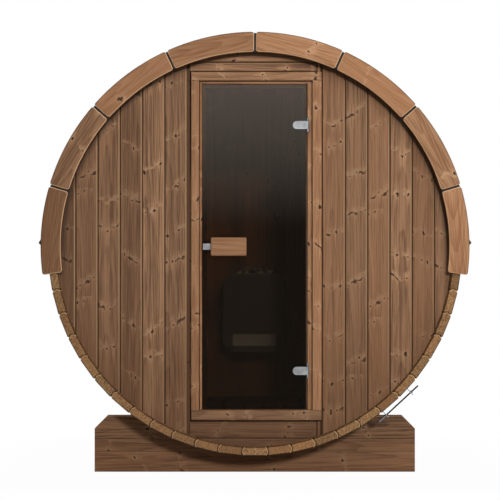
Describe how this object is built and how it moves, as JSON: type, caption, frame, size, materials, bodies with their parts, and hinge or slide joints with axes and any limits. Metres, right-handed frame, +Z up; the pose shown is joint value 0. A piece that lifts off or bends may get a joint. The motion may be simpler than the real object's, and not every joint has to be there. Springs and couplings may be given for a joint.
{
  "type": "barrel sauna",
  "caption": "Lying wooden barrel sauna on two cradles: bead-and-cove staves in steel bands, shingled upper half, curved trim boards, framed glass door and a wall heater.",
  "frame": {"origin": "on the ground, at the middle of the barrel's length and width", "axes": "+Z up; +X to the right of someone facing the door; +Y from the door to the back wall"},
  "size_m": [2.069, 1.844, 2.1569],
  "materials": {
    "stave_wood": "thermally treated softwood, planed, light oil",
    "wall_wood": "thermally treated softwood boards, planed",
    "trim_wood": "thermally treated softwood, cut to a curve, oiled",
    "frame_wood": "thermally treated softwood, planed and oiled",
    "cradle_wood": "glued laminated softwood, dark stained",
    "floor_wood": "thermally treated softwood slats",
    "handle_wood": "thermally treated softwood, sanded",
    "smoked_glass": "toughened smoked glass",
    "steel": "satin stainless steel",
    "roof_board": "bitumen-soaked fibre board, black",
    "roof_shingle": "black bitumen felt shingles with mineral granules",
    "drip_steel": "folded steel, matt black coating",
    "heater_shell": "dark enamelled sheet steel",
    "heater_stone": "split sauna stones",
    "heater_panel": "satin stainless steel"
  },
  "bodies": {
    "barrel": {"back_trim_left": "trim_wood", "back_trim_right": "trim_wood", "back_wall": "wall_wood", "band_back": "steel", "band_front": "steel", "cradle_back": "cradle_wood", "cradle_front": "cradle_wood", "door_frame_head": "frame_wood", "door_frame_left": "frame_wood", "door_frame_right": "frame_wood", "door_frame_sill": "frame_wood", "eave_drip_left": "drip_steel", "eave_drip_right": "drip_steel", "floor_bearers": "floor_wood", "floor_slats": "floor_wood", "front_trim_left": "trim_wood", "front_trim_right": "trim_wood", "front_wall_left": "wall_wood", "front_wall_over_door": "wall_wood", "front_wall_right": "wall_wood", "front_wall_under_door": "wall_wood", "heater_body": "heater_shell", "heater_front_strip": "heater_panel", "heater_hangers": "heater_shell", "heater_stones": "heater_stone", "hinge_leaves": "steel", "ridge_cap": "roof_shingle", "roof_deck_left": "roof_board", "roof_deck_right": "roof_board", "roof_shingles_left": "roof_shingle", "roof_shingles_right": "roof_shingle", "staves_bottom": "stave_wood", "staves_lower_left": "stave_wood", "staves_lower_right": "stave_wood", "staves_side_left": "stave_wood", "staves_side_right": "stave_wood", "staves_top": "stave_wood", "staves_upper_left": "stave_wood", "staves_upper_right": "stave_wood", "tensioners": "steel"},
    "door": {"door_glass": "smoked_glass", "door_handle_inside": "handle_wood", "door_handle_outside": "handle_wood", "door_latch_plate": "steel", "handle_spacers": "handle_wood", "hinge_clamps": "steel"}
  },
  "joints": [
    {"name": "door_hinge", "type": "hinge", "parent": "barrel", "child": "door", "pos_m": [0.2537, -0.8455, 1.122], "axis": [0, 0, 1], "range_deg": [0, 100]}
  ]
}
